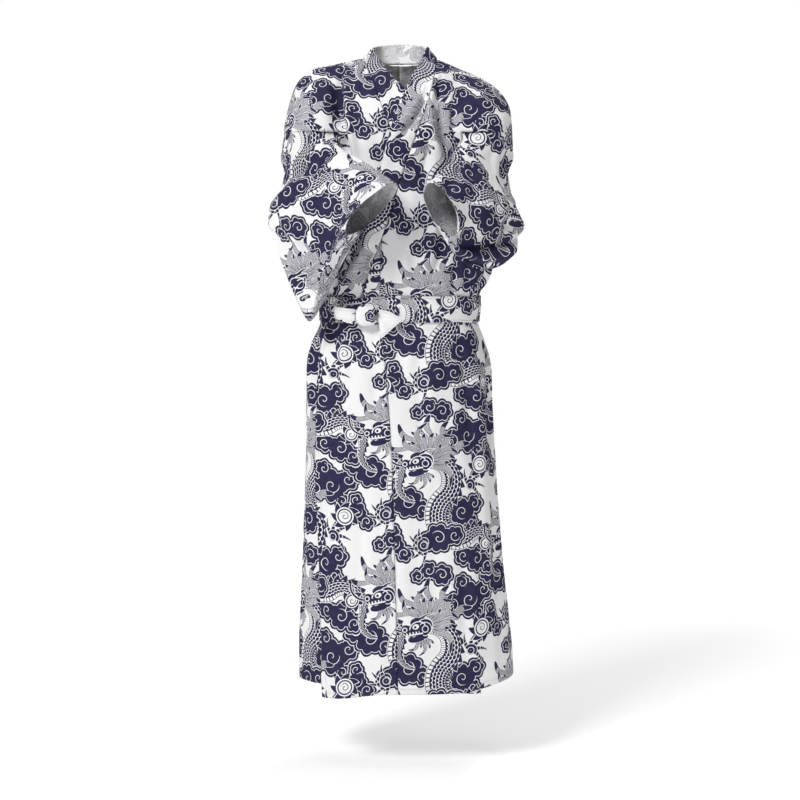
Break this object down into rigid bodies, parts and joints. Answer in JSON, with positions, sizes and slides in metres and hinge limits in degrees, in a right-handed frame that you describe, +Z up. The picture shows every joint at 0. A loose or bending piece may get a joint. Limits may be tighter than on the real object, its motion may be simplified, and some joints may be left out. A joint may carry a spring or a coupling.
{
  "type": "cotton yukata robe with tied cloth belt",
  "caption": "Full-length cotton yukata robe, worn left front over right with folded arms: open neck and cuffs, hanging sleeve bags and a knotted belt of the same cloth",
  "frame": {"origin": "middle of the shoulder line at the base of the neck, where the wearer's shoulders hold the robe up", "axes": "+Z up, the front faces -Y, +X is the wearer's left"},
  "size_m": [0.5394, 0.4011, 1.4074],
  "materials": {
    "printed_cotton": "plain-woven cotton, off-white with a dense navy print, matt"
  },
  "bodies": {
    "root": {"body_left": "printed_cotton", "body_right": "printed_cotton", "gore_left": "printed_cotton", "gore_right": "printed_cotton", "collar": "printed_cotton", "sleeve_left": "printed_cotton", "sleeve_right": "printed_cotton", "belt_band": "printed_cotton", "belt_knot": "printed_cotton", "belt_loop": "printed_cotton", "belt_tail": "printed_cotton"}
  },
  "joints": []
}
